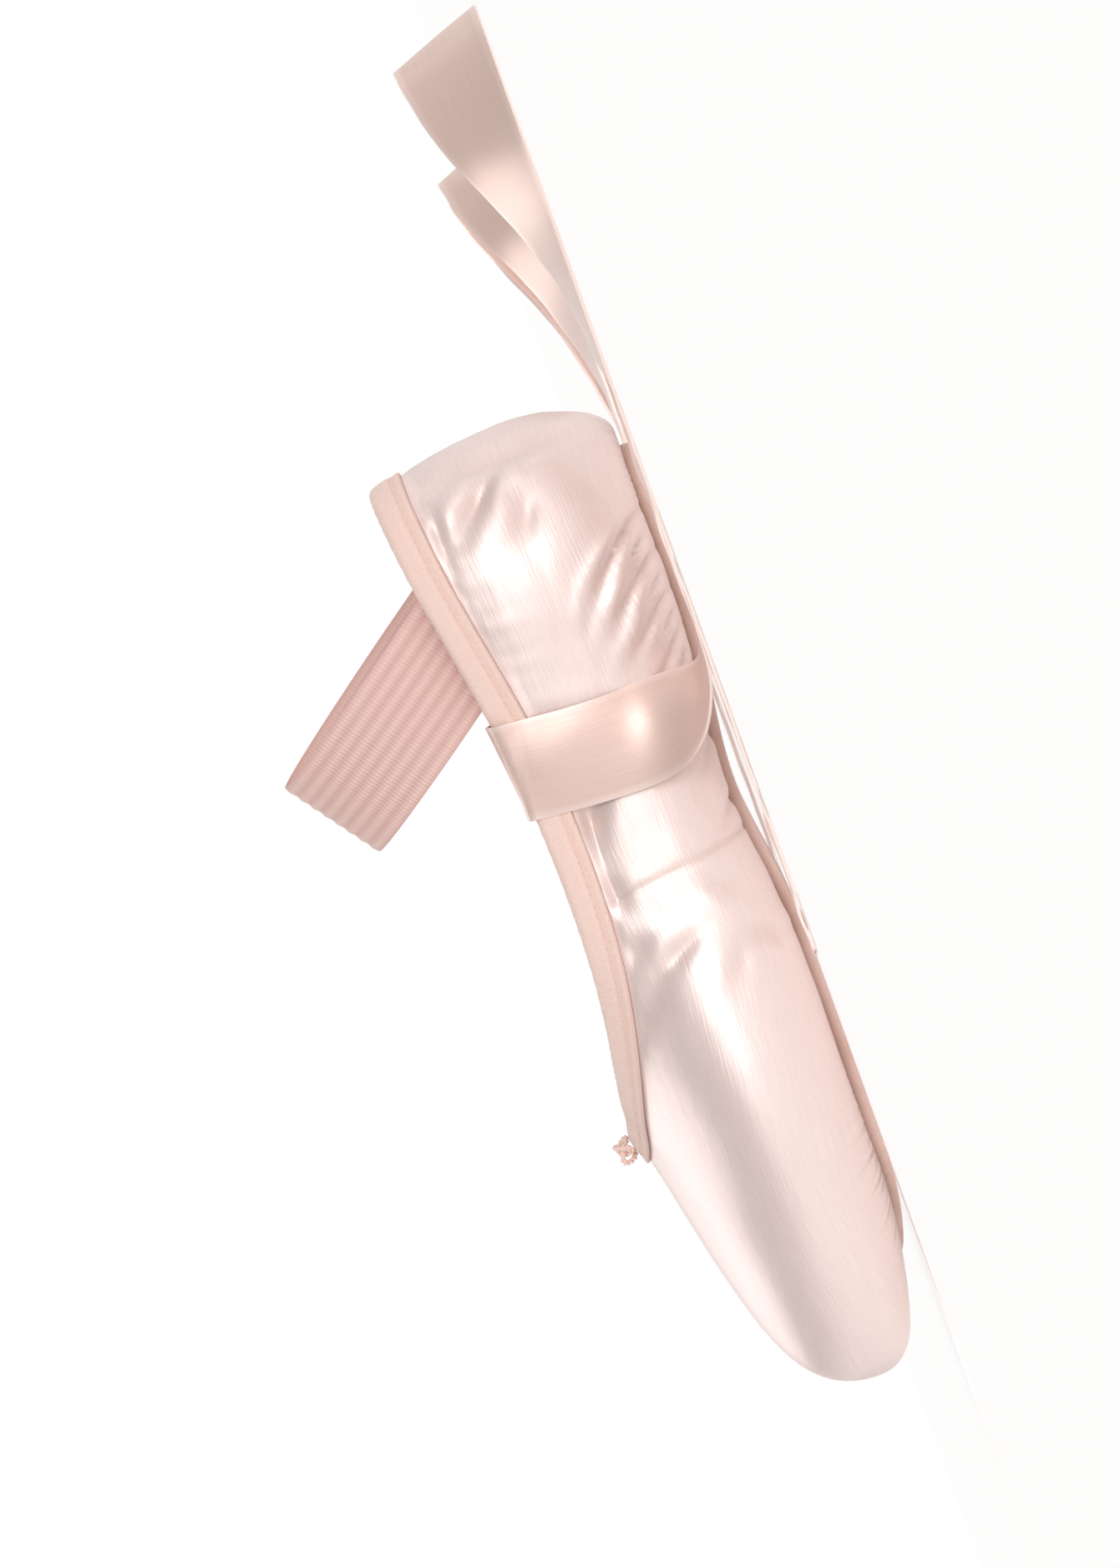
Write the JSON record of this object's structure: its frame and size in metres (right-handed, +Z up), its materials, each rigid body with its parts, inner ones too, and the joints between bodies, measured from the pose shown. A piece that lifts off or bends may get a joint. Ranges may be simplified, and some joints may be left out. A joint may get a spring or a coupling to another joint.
{
  "type": "pointe shoe",
  "caption": "Satin pointe shoe with a stiff toe box, suede sole, cotton binding, elastic loop and untied ribbons.",
  "frame": {"origin": "on the floor, under the middle of the sole's flat tread at the ball of the foot", "axes": "+X from the heel to the toe, +Y to the shoe's left, +Z up from the floor"},
  "size_m": [0.3151, 0.2523, 0.0974],
  "materials": {
    "satin": "worn peach satin",
    "satin_ribbon": "satin ribbon with woven edges",
    "cotton_binding": "matt cotton tape",
    "suede_sole": "pale suede, rubbed",
    "canvas_insole": "plain canvas",
    "ribbed_elastic": "ribbed elastic band",
    "cotton_string": "twisted cotton cord"
  },
  "bodies": {
    "root": {"upper": "satin", "outsole": "suede_sole", "insole": "canvas_insole", "binding": "cotton_binding", "drawstring_knot": "cotton_string", "elastic_strap": "ribbed_elastic", "ribbon_left": "satin_ribbon", "ribbon_right": "satin_ribbon"}
  },
  "joints": []
}
